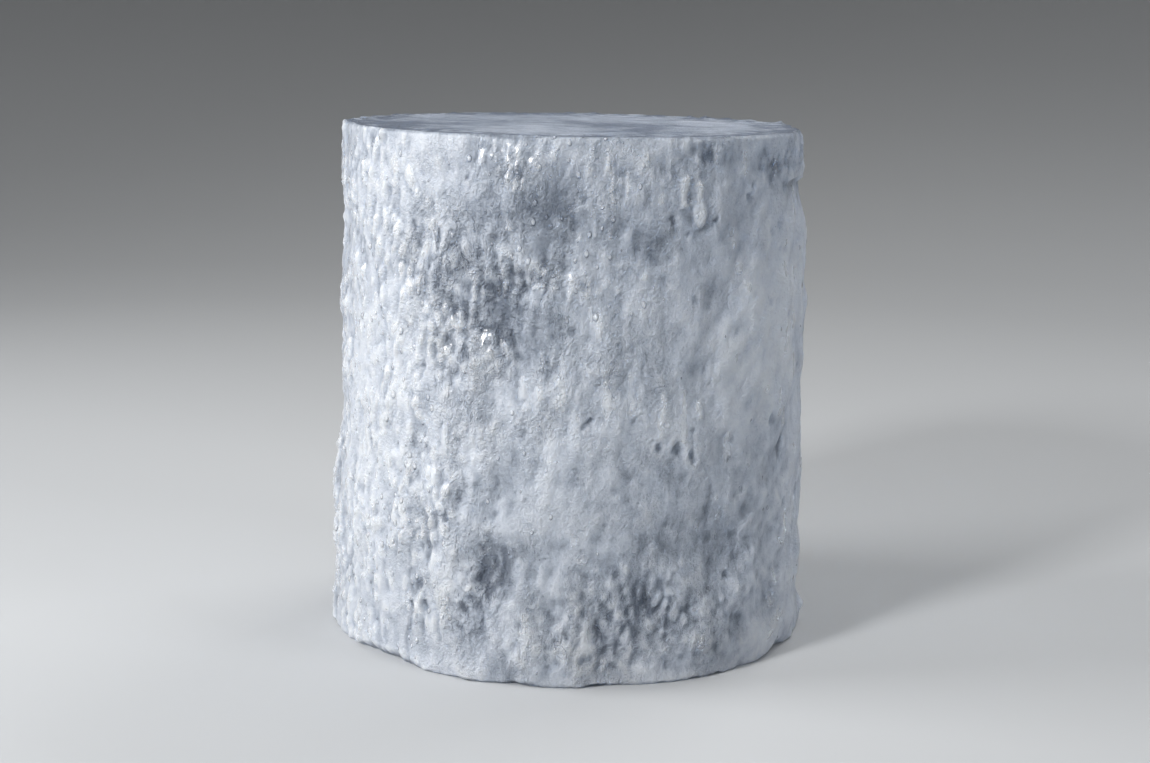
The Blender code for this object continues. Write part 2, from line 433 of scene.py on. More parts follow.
def lumps(places, size, shift=0.0):
    """Rounded lumps from 0 to 1, with creases between them."""
    return np.minimum(np.abs(waves(places, size, shift=shift)) * 2.0, 1.0)


def grains(places, size, shift=0.0):
    """Packed rounded grains, from 0 in the gaps to 1 at their tops."""
    from_middle = waves(places, size, "VORONOI_F1", shift) + 1.0
    return 1.0 - np.clip(from_middle / 1.2, 0.0, 1.0)


def spread(wall, values, across, up):
    """values averaged over their neighbours, this far round the wall and up it."""
    turns = turn_between(wall.angles[:, None], wall.angles[None, :])
    shares = 1.0 - FRONT_CROWDING * np.cos(np.radians(even_angles()))
    columns = np.exp(-0.5 * (np.radians(turns) * MEAN_RADIUS / across) ** 2) * shares[:, None]
    columns /= columns.sum(axis=0, keepdims=True)
    rises = wall.heights[:, None] - wall.heights[None, :]
    rings = np.exp(-0.5 * (rises / up) ** 2) * np.gradient(wall.heights)[None, :]
    rings /= rings.sum(axis=1, keepdims=True)
    return rings @ values @ columns


def even_angles():
    return -180.0 + 360.0 * np.arange(COLUMNS) / COLUMNS


def column_angles():
    """The columns' angles, closest together at the front."""
    even = even_angles()
    return even - math.degrees(FRONT_CROWDING) * np.sin(np.radians(even))


def ring_heights():
    rims = np.array(RIM_RINGS)
    middle = np.linspace(rims[-1], CORE_HEIGHT - rims[-1], RINGS)
    return np.concatenate([rims[:-1], middle, CORE_HEIGHT - rims[-2::-1]])


def solid_radius(angles, heights):
    """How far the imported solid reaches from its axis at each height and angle."""
    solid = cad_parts[CORE_NODE].data
    tree = BVHTree.FromPolygons(
        [vertex.co[:] for vertex in solid.vertices], [face.vertices[:] for face in solid.polygons]
    )
    just_inside = 0.002 * MM
    outwards = [Vector((math.sin(turn), -math.cos(turn), 0.0)) for turn in np.radians(angles)]
    radius = np.empty((len(heights), len(angles)))
    for ring, height in enumerate(heights):
        level = min(max(height, just_inside), CORE_HEIGHT - just_inside)
        start = Vector((0.0, 0.0, level))
        radius[ring] = [tree.ray_cast(start, direction)[3] for direction in outwards]
    return radius


def collar_foot(angle):
    """The height of the collar's foot, which rises away from the collar's middle."""
    turn = np.minimum(np.abs(turn_between(angle, COLLAR_ANGLE)), COLLAR_HALF_SPAN)
    return COLLAR_FOOT + COLLAR_FOOT_SLOPE * turn


def smooth_facets(wall):
    """Smooths the solid's facets, but neither its rims nor the step at the collar's foot."""
    foot = collar_foot(wall.angle)
    above = (wall.height > foot).astype(float)
    sides = []
    for side in (1.0 - above, above):
        weight = spread(wall, side, FACET_ACROSS, FACET_UP)
        smoothed = spread(wall, wall.radius * side, FACET_ACROSS, FACET_UP)
        sides.append(smoothed / np.maximum(weight, 1e-9))
    wavering_foot = foot + COLLAR_WAVER * waves(wall.places, (5, 5, 60))
    turn = np.abs(turn_between(wall.angle, COLLAR_ANGLE))
    soft = smooth_step((turn - COLLAR_CRISP_SPAN) / COLLAR_CRISP_SPAN + 0.2)
    width = COLLAR_STEP + (COLLAR_SOFT_STEP - COLLAR_STEP) * soft
    step = smooth_step((wall.height - wavering_foot) / width + 0.5)
    smooth = sides[0] * (1.0 - step) + sides[1] * step
    # Near the rims, each ring is only smoothed along itself
    near_rims = spread(wall, wall.radius, FACET_ACROSS, 0.01 * MM)
    from_rim = np.minimum(wall.height, CORE_HEIGHT - wall.height)
    keep = smooth_step(from_rim / RIM_BAND)
    wall.radius = near_rims * (1.0 - keep) + smooth * keep


# ---------------------------------------------------------------- the melt on the wall

def patchwork(wall, patches):
    """The patches' amounts, added up over the wall."""
    total = np.zeros_like(wall.radius)
    for patch in patches:
        reach = 2.4 * MM * max(patch.half_width, patch.half_height)
        cells, across, up = wall.near(patch.angle, patch.height * MM, reach, patch.lean)
        far = (across / (patch.half_width * MM)) ** 2 + (up / (patch.half_height * MM)) ** 2
        total[cells] += patch.amount * np.exp(-far)
    return total


def warm_flank(wall):
    """1 on the warm flank and 0 elsewhere, with wavering edges."""
    ridge = np.array(WARM_RIDGE, float)
    edge = np.interp(wall.height, ridge[:, 0] * MM, ridge[:, 1])
    edge = edge + RIDGE_WAVER * waves(wall.places, (9, 9, 14))
    front = smooth_step(turn_between(edge, wall.angle) / 10.0 + 0.5)
    back = smooth_step(turn_between(wall.angle, WARM_BACK_EDGE) / 30.0)
    return np.where(np.abs(turn_between(wall.angle, -90.0)) < 90.0, front * back, 0.0)


def add_melt_lumps(wall, warm, sugary, flaking):
    """The melt's relief on the warm flank and on the rest, and what is laid over both."""
    waver = 0.8 * MM * waves(wall.places, (12, 12, 10))
    places = wall.places + waver[..., None]
    add_warm_beads(wall, places, warm)
    add_soft_folds(wall, places, warm)
    add_broken_skin(wall, places, warm, sugary, flaking)


def add_warm_beads(wall, places, warm):
    """Ropes and clumps of beads, which are wet on their tops; the tops are whitened as painted
    glints, and the flank between them is painted a little darker.
    """
    ropes = lumps(places, (2.6, 2.6, 8.0))
    clumps = smooth_step(0.5 + 1.1 * waves(places, (6.0, 6.0, 11.0), shift=9.0))
    beads = grains(places, (2.2, 2.2, 3.2), 7.0) + 0.5 * grains(places, (1.4, 1.4, 1.8), 17.0)
    beads += 0.5 * waves(places, (3.0, 3.0, 5.0), shift=19.0)
    bead_relief = BEAD_RELIEF + CLUMPED_BEAD_RELIEF * clumps
    wall.radius += MM * warm * (ROPE_RELIEF * ropes + bead_relief * beads - WARM_SINK)
    tops = smooth_step(1.8 * beads - 0.6) * (0.3 + 0.7 * clumps)
    # Painted glints: the beads' tops are whitened, and the flank around them darkened a little
    wall.whitening_and_painted_glints += warm * (1.3 * tops - 0.3)
    wall.wetness += warm * (0.2 + 0.9 * tops)


def add_soft_folds(wall, places, warm):
    """Swells, folds and faint streaks wherever the wall isn't warm."""
    swells = waves(wall.places, (8.0, 8.0, 10.0), shift=5.0)
    leans = smooth_step((wall.angle - LEANING_FROM) / 30.0)
    leans *= smooth_step((LEANING_TO - wall.angle) / 40.0)
    upright = waves(places, (3.0, 3.0, 4.6), shift=6.0)
    leaning = waves(wall.leaning(FOLD_LEAN), (3.2, 3.2, 5.0), shift=6.0)
    streaks = lumps(places, (2.2, 2.2, 9.0), 3.0) - 0.3
    folds = upright * (1.0 - leans) + 0.8 * leaning * leans
    soft = SWELL_RELIEF * swells + FOLD_RELIEF * folds + STREAK_RELIEF * streaks
    wall.radius += MM * (1.0 - warm) * soft


def add_broken_skin(wall, places, warm, sugary, flaking):
    """Grit all over, crumbs and flakes in sugary patches, plates in flaky ones, and knobs."""
    grit = waves(wall.places, (1.5, 1.5, 1.8), shift=81.0)
    grit += 0.6 * waves(wall.places, (2.4, 2.4, 3.0), shift=83.0)
    wall.radius += MM * GRIT_RELIEF * (1.0 - 0.7 * warm) * grit
    crumbs = grains(wall.places, (1.7, 1.7, 2.1), 2.0) - 0.5
    flakes = lumps(wall.places, (2.6, 2.6, 3.2), 13.0) - 0.4
    broken = CRUMB_RELIEF * crumbs + SUGARY_FLAKE_RELIEF * flakes
    wall.radius += MM * np.clip(sugary, 0.0, 1.3) * broken
    plates = lumps(places, (1.8, 1.8, 5.0), 15.0) - 0.35
    high = smooth_step((wall.height - PLATES_FROM) / (20.0 * MM))
    proud = MM * PLATE_RELIEF * np.clip(flaking, 0.0, 1.0) * (1.0 - 0.6 * warm)
    wall.radius += proud * high * plates
    knobs = waves(places, (5.5, 5.5, 5.0), shift=27.0)
    knobs += 0.5 * waves(places, (2.2, 2.2, 2.0), shift=29.0)
    wall.radius += MM * KNOB_RELIEF * patchwork(wall, KNOBBLY_PATCHES) * knobs


def add_pit(wall, pit):
    """A pit with a low lip round it."""
    reach = 2.6 * MM * max(pit.half_width, pit.half_height)
    cells, across, up = wall.near(pit.angle, pit.height * MM, reach, pit.lean)
    far = np.hypot(across / (pit.half_width * MM), up / (pit.half_height * MM))
    lip = 0.25 * np.exp(-((far - 1.6) ** 2) / 0.25)
    wall.radius[cells] -= pit.depth * MM * (np.exp(-(far ** 2)) - lip)


def add_run(wall, run):
    """A rivulet that froze as it ran: a thin ridge that swells to a bead at its lower end."""
    length = run.length * MM
    cells, across, up = wall.near(run.angle, run.top * MM - length / 2.0, length)
    down = 0.5 - up / length
    width = 0.5 * run.width * MM * (0.75 + 0.25 * smooth_step(down))
    past_end = np.maximum(np.abs(up) - (0.5 * length - width), 0.0)
    far = (across ** 2 + past_end ** 2) / width ** 2
    swell = 0.55 + 0.45 * smooth_step(down * 1.4 - 0.4)
    wall.radius[cells] += run.proud * MM * swell * np.sqrt(np.clip(1.0 - far, 0.0, 1.0))
    wall.wetness[cells] += RUN_WETNESS * np.clip(1.5 - far, 0.0, 1.0)
    wall.whitening_and_painted_glints[cells] += RUN_WHITENESS * np.clip(1.2 - far, 0.0, 1.0)


def add_drop(wall, drop):
    """A drop that froze where it hung, with a dimple in its middle."""
    cells, across, up = wall.near(drop.angle, drop.height * MM, 2.6 * MM * drop.radius)
    far = np.hypot(across, up) / (drop.radius * MM)
    rim = np.exp(-((far - 0.7) ** 2) / 0.09)
    wall.radius[cells] += drop.proud * MM * (0.8 * np.exp(-(far ** 2)) + 0.3 * rim)
    wall.wetness[cells] += RUN_WETNESS * np.exp(-(far ** 2))


def scatter_melt(wall):
    """Small runs, drops and pits anywhere on the wall."""
    draw = random.Random(SCATTER_SEED)
    for _ in range(SCATTERED_RUNS):
        place = draw.uniform(-180.0, 180.0), draw.uniform(8.0, 105.0)
        shape = draw.uniform(2.0, 6.0), draw.uniform(0.9, 1.8), draw.uniform(0.08, 0.24)
        add_run(wall, Run(*place, *shape))
    for _ in range(SCATTERED_DROPS):
        place = draw.uniform(-180.0, 180.0), draw.uniform(3.0, 103.0)
        add_drop(wall, Drop(*place, draw.uniform(0.6, 1.1), draw.uniform(0.08, 0.30)))
    for _ in range(SCATTERED_PITS):
        place = draw.uniform(-180.0, 180.0), draw.uniform(2.0, 104.0)
        half_width = draw.uniform(0.35, 0.9)
        half_height = half_width * draw.uniform(0.7, 1.6)
        depth, lean = draw.uniform(0.15, 0.55), draw.uniform(-60.0, 60.0)
        add_pit(wall, Pit(*place, half_width, half_height, depth, lean))


def rim_lift(wall):
    """How far the top rim stands up, in crumbs that are largest at the back."""
    back = smooth_step((np.abs(wall.angle) - 60.0) / 60.0)
    crumbs = np.clip(waves(wall.places, (3.0, 3.0, 3.0), shift=21.0) + 0.1, 0.0, 1.0)
    fine = waves(wall.places, (1.3, 1.3, 1.3), shift=23.0)
    return MM * (FRONT_CRUMBS + BACK_CRUMBS * back) * crumbs * (1.0 + 0.5 * fine)


def base_nicks(wall):
    """How far the base rim is worn up in small nicks."""
    nicks = np.clip(waves(wall.places, (4.0, 4.0, 4.0), shift=25.0) - 0.05, 0.0, 1.0)
    return MM * BASE_NICKS * nicks


def wall_clouds_and_painted_light(wall, sugary):
    """How cloudy the ice under each place of the wall is, from clear (-1) to white (1). It also
    holds painted shade, darker in broad hollows and lighter on swellings, and the beads' painted
    glints.
    """
    broad = waves(wall.places, (26.0, 26.0, 20.0), shift=51.0)
    small = waves(wall.places, (7.0, 7.0, 9.0), shift=53.0)
    specks = waves(wall.places, (2.0, 2.0, 2.4), shift=55.0)
    # Painted shade: broad hollows are darkened and swellings lightened
    hollow_shade = (spread(wall, wall.radius, 3.0 * MM, 4.0 * MM) - wall.radius) / HOLLOW_SHADE_DEPTH
    clouding_and_painted_light = 1.3 * patchwork(wall, CLOUD_AND_SHADING_PATCHES) + 0.3 * broad + 0.4 * small + 0.15 * specks
    clouding_and_painted_light += np.clip(sugary, 0.0, 1.0) * waves(wall.places, (1.5, 1.5, 1.9), shift=57.0)
    return clouding_and_painted_light + wall.whitening_and_painted_glints - 0.15 * np.clip(hollow_shade, -0.8, 1.2)


def painted_crevice_shade(wall):
    """How deep each place lies in painted shade: 1 in a crevice, and below nought, which paints
    light, on what stands out between crevices.
    """
    depth = (spread(wall, wall.radius, 1.0 * MM, 1.2 * MM) - wall.radius) / CREVICE_SHADE_DEPTH
    return np.sign(depth) * np.clip(np.abs(depth) - 0.2, 0.0, 0.8)


def melted_wall():
    """The wall with all its relief, and the skin's values on it."""
    angles = column_angles()
    heights = ring_heights()
    wall = Wall(angles, heights, solid_radius(angles, heights))
    smooth_facets(wall)
    warm = warm_flank(wall)
    sugary = patchwork(wall, SUGARY_PATCHES)
    flaking = patchwork(wall, FLAKY_PATCHES)
    wall.radius += MM * patchwork(wall, BULGES)
    add_melt_lumps(wall, warm, sugary, flaking)
    for run in RUNS:
        add_run(wall, run)
    for drop in DROPS:
        add_drop(wall, drop)
    for pit in PITS:
        add_pit(wall, pit)
    scatter_melt(wall)
    wall.skin = wall_skin(wall, warm, sugary, flaking)
    return wall


def wall_skin(wall, warm, sugary, flaking):
    """What the materials read at each place of the wall."""
    wet_patches = waves(wall.places, (4.0, 4.0, 5.0), shift=71.0)
    wetness = wall.wetness + 0.1 * sugary + 0.7 * wet_patches
    from_rim = np.minimum(wall.height, CORE_HEIGHT - wall.height)
    wetness *= 0.3 + 0.7 * smooth_step(from_rim / RIM_BAND)
    patchy = 0.65 + 1.6 * waves(wall.places, (5.0, 5.0, 6.0), shift=73.0)
    flaky = waves(wall.places, (8.0, 8.0, 12.0), shift=75.0)
    return {
        "clouding_and_painted_light": wall_clouds_and_painted_light(wall, sugary),
        "crevice_shade": painted_crevice_shade(wall),
        "wetness": np.clip(wetness, 0.0, 1.0),
        "sugar": np.clip((sugary - 0.15 * warm + 0.25) * patchy, 0.0, 1.0),
        "flaking": np.clip(flaking - 0.05 + 0.7 * flaky, 0.0, 1.0),
        "dew": np.clip(0.8 * patchwork(wall, DEWY_PATCHES) + 0.25 * warm + 0.05, 0.0, 1.0),
    }


# ---------------------------------------------------------------- the sawn faces and the mesh

# What the materials read at each point of the mesh
SKIN_VALUES = ("clouding_and_painted_light", "crevice_shade", "wetness", "sugar", "flaking", "dew")


class Surface:
    """Points and faces as they are added, with the skin's values at each point."""

    def __init__(self):
        self.points, self.faces, self.sawn = [], [], []
        self.skin = {name: [] for name in SKIN_VALUES}

    def add_points(self, points, **skin):
        """Adds points with the skin's values at them, and returns their numbers in the mesh."""
        start = len(self.points)
        self.points.extend(points.tolist())
        for name, values in self.skin.items():
            values.extend(np.broadcast_to(skin.get(name, 0.0), len(points)).tolist())
        return list(range(start, len(self.points)))

    def add_face(self, face, sawn, turned=False):
        self.faces.append(tuple(reversed(face)) if turned else face)
        self.sawn.append(sawn)


def add_wall(surface, wall):
    """Adds the wall's rings, and returns the base's and the top's rim."""
    at_base = np.exp(-wall.height / BASE_RIM_FADE)
    at_top = np.exp(-(CORE_HEIGHT - wall.height) / TOP_RIM_FADE)
    turn = np.radians(wall.angle)
    level = wall.height + base_nicks(wall) * at_base + rim_lift(wall) * at_top
    places = np.stack((wall.radius * np.sin(turn), -wall.radius * np.cos(turn), level), axis=-1)
    rings = []
    for ring, points in enumerate(places):
        skin = {name: values[ring] for name, values in wall.skin.items()}
        rings.append(surface.add_points(points, **skin))
    for lower, upper in zip(rings, rings[1:]):
        for column in range(COLUMNS):
            after = (column + 1) % COLUMNS
            surface.add_face((lower[column], lower[after], upper[after], upper[column]), False)
    return rings[0], rings[-1]


def face_rings(cell):
    """(share of the radius, columns) of a sawn face's rings, from its rim inwards.

    A ring has half as many columns as the one outside it wherever those would be too close.
    """
    rings, share, columns = [], 1.0, COLUMNS
    while share > 0.05:
        spacing = 2.0 * math.pi * share * MEAN_RADIUS / columns
        near_rim = share > 0.97
        share -= (RIM_CELL if near_rim else max(spacing, cell)) / MEAN_RADIUS
        if not near_rim and columns % 2 == 0 and spacing < 0.7 * cell:
            columns //= 2
        rings.append((share, columns))
    return rings


def rim_fade(share, width):
    """1 at a cut's rim, fading over this width towards its middle."""
    return math.exp(-(((1.0 - share) * MEAN_RADIUS / width) ** 2))


def saw_relief(places):
    """The low relief that a saw and a little melting leave on a cut."""
    swell = waves(places, (16.0, 16.0, 16.0), shift=31.0)
    frost = waves(places, (2.6, 2.6, 2.6), shift=33.0)
    fine = waves(places, (1.3, 1.3, 1.3), shift=35.0)
    strokes = waves(places, (50.0, 2.6, 50.0), shift=37.0)
    return MM * (0.12 * swell + 0.06 * frost + 0.04 * fine + 0.015 * strokes)


def sawn_skin(places, share):
    """What the materials read on a cut at this share of its radius. Its rim is broken and dark."""
    crumbs = waves(places, (1.6, 1.6, 1.6), shift=45.0)
    broken = np.clip(0.5 + 2.0 * waves(places, (7.0, 7.0, 7.0), shift=47.0), 0.0, 1.0)
    broken *= rim_fade(share, SAWN_RIM_WIDTH)
    clouding_and_painted_light = 0.7 * waves(places, (22.0, 22.0, 22.0), shift=41.0) - 0.65
    clouding_and_painted_light += 0.5 * waves(places, (6.0, 6.0, 6.0), shift=43.0) + 0.25 * crumbs
    clouding_and_painted_light += broken * (2.0 * crumbs - 0.9)
    mottled = rim_fade(share, MOTTLED_RIM_WIDTH)
    clouding_and_painted_light += mottled * (1.5 * waves(places, (2.6, 2.6, 2.6), shift=49.0) - 0.35)
    sugar = 0.15 + 0.3 * mottled + 0.4 * broken
    return {"clouding_and_painted_light": clouding_and_painted_light, "sugar": sugar, "flaking": 0.5 * mottled, "wetness": 0.1}


def stitch(surface, outer, inner, turned):
    """Faces between two rings, of which the inner one has as many points or half as many."""
    count, stride = len(inner), len(outer) // len(inner)
    for place in range(count):
        after = (place + 1) % count
        first, last = outer[stride * place], outer[stride * after]
        if stride == 1:
            surface.add_face((first, last, inner[after], inner[place]), True, turned)
        else:
            middle = outer[stride * place + 1]
            surface.add_face((first, middle, inner[place]), True, turned)
            surface.add_face((middle, inner[after], inner[place]), True, turned)
            surface.add_face((middle, last, inner[after]), True, turned)


def add_sawn_face(surface, rim, level, cell, turned):
    """Fills a rim in with rings that have fewer points towards the middle."""
    rim_points = np.array([surface.points[point] for point in rim])
    outer = rim
    for share, columns in face_rings(cell):
        ring = rim_points[:: len(rim) // columns].copy()
        lift = ring[:, 2] - level
        ring[:, :2] *= share
        ring[:, 2] = level
        chipped = rim_fade(share, CHIPPED_RIM_WIDTH)
        mottled = rim_fade(share, MOTTLED_RIM_WIDTH)
        clods = CLOD_RELIEF * mottled * waves(ring, (2.6, 2.6, 2.6), shift=49.0)
        ring[:, 2] += lift * chipped + (saw_relief(ring) + clods) * (1.0 - chipped)
        inner = surface.add_points(ring, **sawn_skin(ring, share))
        stitch(surface, outer, inner, turned)
        outer = inner
    centre = np.array([[0.0, 0.0, level]])
    middle = surface.add_points(centre, **sawn_skin(centre, 0.0))[0]
    for place, point in enumerate(outer):
        after = outer[(place + 1) % len(outer)]
        surface.add_face((point, after, middle), True, turned)


def melted_core():
    """The core's mesh object, with its wall in the first material and its cuts in the second."""
    surface = Surface()
    base_rim, top_rim = add_wall(surface, melted_wall())
    add_sawn_face(surface, top_rim, CORE_HEIGHT, TOP_CELL, turned=False)
    add_sawn_face(surface, base_rim, 0.0, BASE_CELL, turned=True)

    mesh = bpy.data.meshes.new("melted_core")
    mesh.from_pydata(surface.points, [], surface.faces)
    mesh.materials.append(melted_wall_material())
    mesh.materials.append(sawn_face_material())
    mesh.polygons.foreach_set("material_index", [int(sawn) for sawn in surface.sawn])
    mesh.shade_smooth()
    for name, values in surface.skin.items():
        mesh.attributes.new(name, "FLOAT", "POINT").data.foreach_set("value", values)
    core = bpy.data.objects.new("melted_core", mesh)
    bpy.context.collection.objects.link(core)
    return core


# ---------------------------------------------------------------- materials

# The size of the skin's flakes and how many layers they lie in, the size of its grains and how
# unevenly they are packed, and the room that each drop has to itself
FLAKE_SIZE = 2.6 * MM
FLAKE_LAYERS = 6.0
GRAIN_SIZE = 0.6 * MM
PACKING = 0.7 * MM
DROP_CELL = 1.8 * MM


def add_node(tree, kind, inputs=None, **settings):
    """A node with its settings, and with each input set to a value or linked to a socket."""
    node = tree.nodes.new(kind)
    for name, value in settings.items():
        setattr(node, name, value)
    for name, value in (inputs or {}).items():
        if isinstance(value, bpy.types.NodeSocket):
            tree.links.new(value, node.inputs[name])
        else:
            node.inputs[name].default_value = value
    return node


def calculate(tree, operation, first, second=0.0, third=0.0, clamp=False):
    """The result of a Math node. MULTIPLY_ADD is first * second + third."""
    inputs = {0: first, 1: second, 2: third}
    node = add_node(tree, "ShaderNodeMath", inputs, operation=operation, use_clamp=clamp)
    return node.outputs[0]


def measure(tree, operation, *vectors):
    """A Vector Math node."""
    return add_node(
        tree, "ShaderNodeVectorMath", dict(enumerate(vectors)), operation=operation
    )


def colour_steps(tree, value, steps):
    """A colour for value, from steps of (place, colour)."""
    node = add_node(tree, "ShaderNodeValToRGB", {"Fac": value})
    ramp = node.color_ramp
    while len(ramp.elements) < len(steps):
        ramp.elements.new(0.5)
    for element, (place, colour) in zip(ramp.elements, steps):
        element.position = place
        element.color = (*colour, 1.0)
    return node.outputs["Color"]


def effect(name, inputs, outputs):
    """A new shader node group, its input node's sockets and its output node."""
    group = bpy.data.node_groups.new(name, "ShaderNodeTree")
    for label, value in inputs.items():
        socket = group.interface.new_socket(label, in_out="INPUT", socket_type="NodeSocketFloat")
        socket.default_value = value
    for label, kind in outputs.items():
        group.interface.new_socket(label, in_out="OUTPUT", socket_type=kind)
    given = group.nodes.new("NodeGroupInput").outputs
    results = group.nodes.new("NodeGroupOutput")
    return group, given, results


def cloudy_ice():
    """Colour from clear grey ice to white bubbly ice, with painted shade in its crevices and
    hollows, and painted light and shade that follow the relief.
    """
    group, given, results = effect(
        "cloudy ice",
        {"Clouding And Painted Light": 0.0, "Crevice Shade": 0.0, "Painted Shading": 0.0, "Painted Shading Tone": 0.5},
        {"Color": "NodeSocketColor"},
    )
    whiteness = calculate(group, "MULTIPLY_ADD", given["Clouding And Painted Light"], 0.5, 0.55)
    # Painted light and shade from the fine relief's tone
    whiteness = calculate(
        group, "MULTIPLY_ADD", given["Painted Shading"], given["Painted Shading Tone"], whiteness
    )
    # Painted shade in the crevices, and painted light on what stands out
    whiteness = calculate(group, "MULTIPLY_ADD", given["Crevice Shade"], -0.35, whiteness)
    colour = colour_steps(
        group,
        whiteness,
        (
            (0.0, (0.22, 0.25, 0.305)),
            (0.35, (0.51, 0.555, 0.63)),
            (0.65, (0.74, 0.78, 0.85)),
            (1.0, (0.90, 0.93, 0.97)),
        ),
    )
    group.links.new(colour, results.inputs["Color"])
    return group


def frozen_grain():
    """The grain of a refrozen skin, the crumbs of a sugary one and the drops that stand on it.

    Height is in millimetres. The second output is a tone for the colour: painted shade, below
    nought, in the hollows, gaps and drops' rims, and painted light, above it, on the tops and as a
    glint in each drop's middle. Drop is 1 in the middle of a drop.
    """
    group, given, results = effect(
        "frozen grain",
        {"Flakes": 0.05, "Flaking": 0.5, "Grain": 0.3, "Sugar": 0.0, "Dew": 0.0, "Wetness": 0.0},
        {"Height": "NodeSocketFloat", "Painted Shading": "NodeSocketFloat", "Drop": "NodeSocketFloat"},
    )
    where = add_node(group, "ShaderNodeTexCoord").outputs["Object"]
    hanging = add_node(group, "ShaderNodeMapping", {"Vector": where, "Scale": (1.0, 1.0, 0.7)})
    hanging = hanging.outputs["Vector"]

    # Flakes that lie over each other with crisp edges
    rough = {"Vector": hanging, "Scale": 1.0 / FLAKE_SIZE, "Detail": 3.0, "Roughness": 0.6}
    sheet = add_node(group, "ShaderNodeTexNoise", rough).outputs[0]
    level = calculate(group, "MULTIPLY", sheet, FLAKE_LAYERS)
    flake = calculate(group, "FLOOR", level)
    past_edge = calculate(group, "SUBTRACT", level, flake)
    rise = calculate(group, "MULTIPLY", past_edge, 5.0, clamp=True)
    flake = calculate(group, "ADD", flake, rise)
    flake = calculate(group, "MULTIPLY_ADD", sheet, 2.0, flake)
    thick = calculate(group, "MULTIPLY", given["Flaking"], given["Flakes"])
    height = calculate(group, "MULTIPLY", flake, thick)
    crack = calculate(group, "MULTIPLY_ADD", past_edge, -7.0, 1.0, clamp=True)
    crack = calculate(group, "MULTIPLY", crack, given["Flaking"])

    # Grains, unevenly packed, which part into crumbs where the skin is sugary
    packing = calculate(group, "MULTIPLY", sheet, PACKING)
    uneven = measure(group, "ADD", where, packing).outputs["Vector"]
    fine = {"Vector": uneven, "Scale": 1.0 / GRAIN_SIZE, "Detail": 2.5, "Roughness": 0.75}
    grain = add_node(group, "ShaderNodeTexNoise", fine).outputs[0]
    grain = calculate(group, "SUBTRACT", grain, 0.5)
    # Where the skin is wet, water fills its fine relief in
    dry = calculate(group, "MULTIPLY_ADD", given["Wetness"], -0.75, 1.0, clamp=True)
    dry_grain = calculate(group, "MULTIPLY", given["Grain"], dry)
    strength = calculate(group, "MULTIPLY_ADD", given["Sugar"], 1.2, dry_grain)
    height = calculate(group, "MULTIPLY_ADD", grain, strength, height)
    uneven_skin = calculate(group, "SUBTRACT", sheet, 0.5)
    clods = calculate(group, "MULTIPLY", uneven_skin, given["Sugar"])
    height = calculate(group, "MULTIPLY_ADD", clods, 2.2, height)
    unevenness = calculate(group, "MULTIPLY", dry_grain, 1.9)
    height = calculate(group, "MULTIPLY_ADD", uneven_skin, unevenness, height)
    # Painted shade darkens the gaps between grains and the flakes' edges
    gap_shade = calculate(group, "MULTIPLY_ADD", grain, -10.0, -1.5, clamp=True)
    gap_shade = calculate(group, "MAXIMUM", gap_shade, crack)
    gap_shade = calculate(group, "MULTIPLY", gap_shade, calculate(group, "ADD", given["Sugar"], 0.15))
    # Painted light and shade: the tone follows the grain's, the clods' and the skin's relief,
    # lighter on tops and darker in hollows
    painted_shading = calculate(group, "MULTIPLY_ADD", grain, 0.8, calculate(group, "MULTIPLY", clods, 0.8))
    painted_shading = calculate(group, "MULTIPLY_ADD", gap_shade, -0.9, painted_shading)
    painted_shading = calculate(group, "MULTIPLY_ADD", uneven_skin, 0.8, painted_shading)

    # Drops, each in a cell of its own in a tilted grid: as many as the dew asks for
    tilt = {
        "Vector": where,
        "Rotation": (0.6, 0.4, 0.9),
        "Scale": (1.0 / DROP_CELL, 1.0 / DROP_CELL, 0.7 / DROP_CELL),
    }
    tilted = add_node(group, "ShaderNodeMapping", tilt).outputs["Vector"]
    cell = measure(group, "FLOOR", tilted).outputs["Vector"]
    inside = measure(group, "FRACTION", tilted).outputs["Vector"]
    odds = add_node(group, "ShaderNodeTexWhiteNoise", {"Vector": cell}).outputs
    middle = measure(group, "MULTIPLY_ADD", odds["Color"], (0.3, 0.3, 0.3), (0.35, 0.35, 0.35))
    distance = measure(group, "DISTANCE", inside, middle.outputs["Vector"]).outputs["Value"]
    chosen = calculate(group, "LESS_THAN", odds["Value"], given["Dew"])
    size = calculate(group, "FRACT", calculate(group, "MULTIPLY", odds["Value"], 7.0))
    size = calculate(group, "MULTIPLY_ADD", size, 0.22, 0.13)
    far = calculate(group, "POWER", calculate(group, "DIVIDE", distance, size), 2.0)
    drop = calculate(group, "SQRT", calculate(group, "SUBTRACT", 1.0, far, clamp=True))
    drop = calculate(group, "MULTIPLY", drop, chosen)
    height = calculate(group, "MULTIPLY_ADD", drop, calculate(group, "MULTIPLY", size, 1.6), height)
    # Each drop gets a painted dark rim and a painted glint in its middle
    ring = calculate(group, "MULTIPLY_ADD", drop, -1.6, 1.6)
    ring = calculate(group, "MINIMUM", ring, drop)
    painted_glint = calculate(group, "POWER", drop, 4.0)
    painted_shading = calculate(group, "MULTIPLY_ADD", ring, -0.3, painted_shading)
    painted_shading = calculate(group, "MULTIPLY_ADD", painted_glint, 0.8, painted_shading)
    group.links.new(drop, results.inputs["Drop"])
    group.links.new(height, results.inputs["Height"])
    group.links.new(painted_shading, results.inputs["Painted Shading"])
    return group


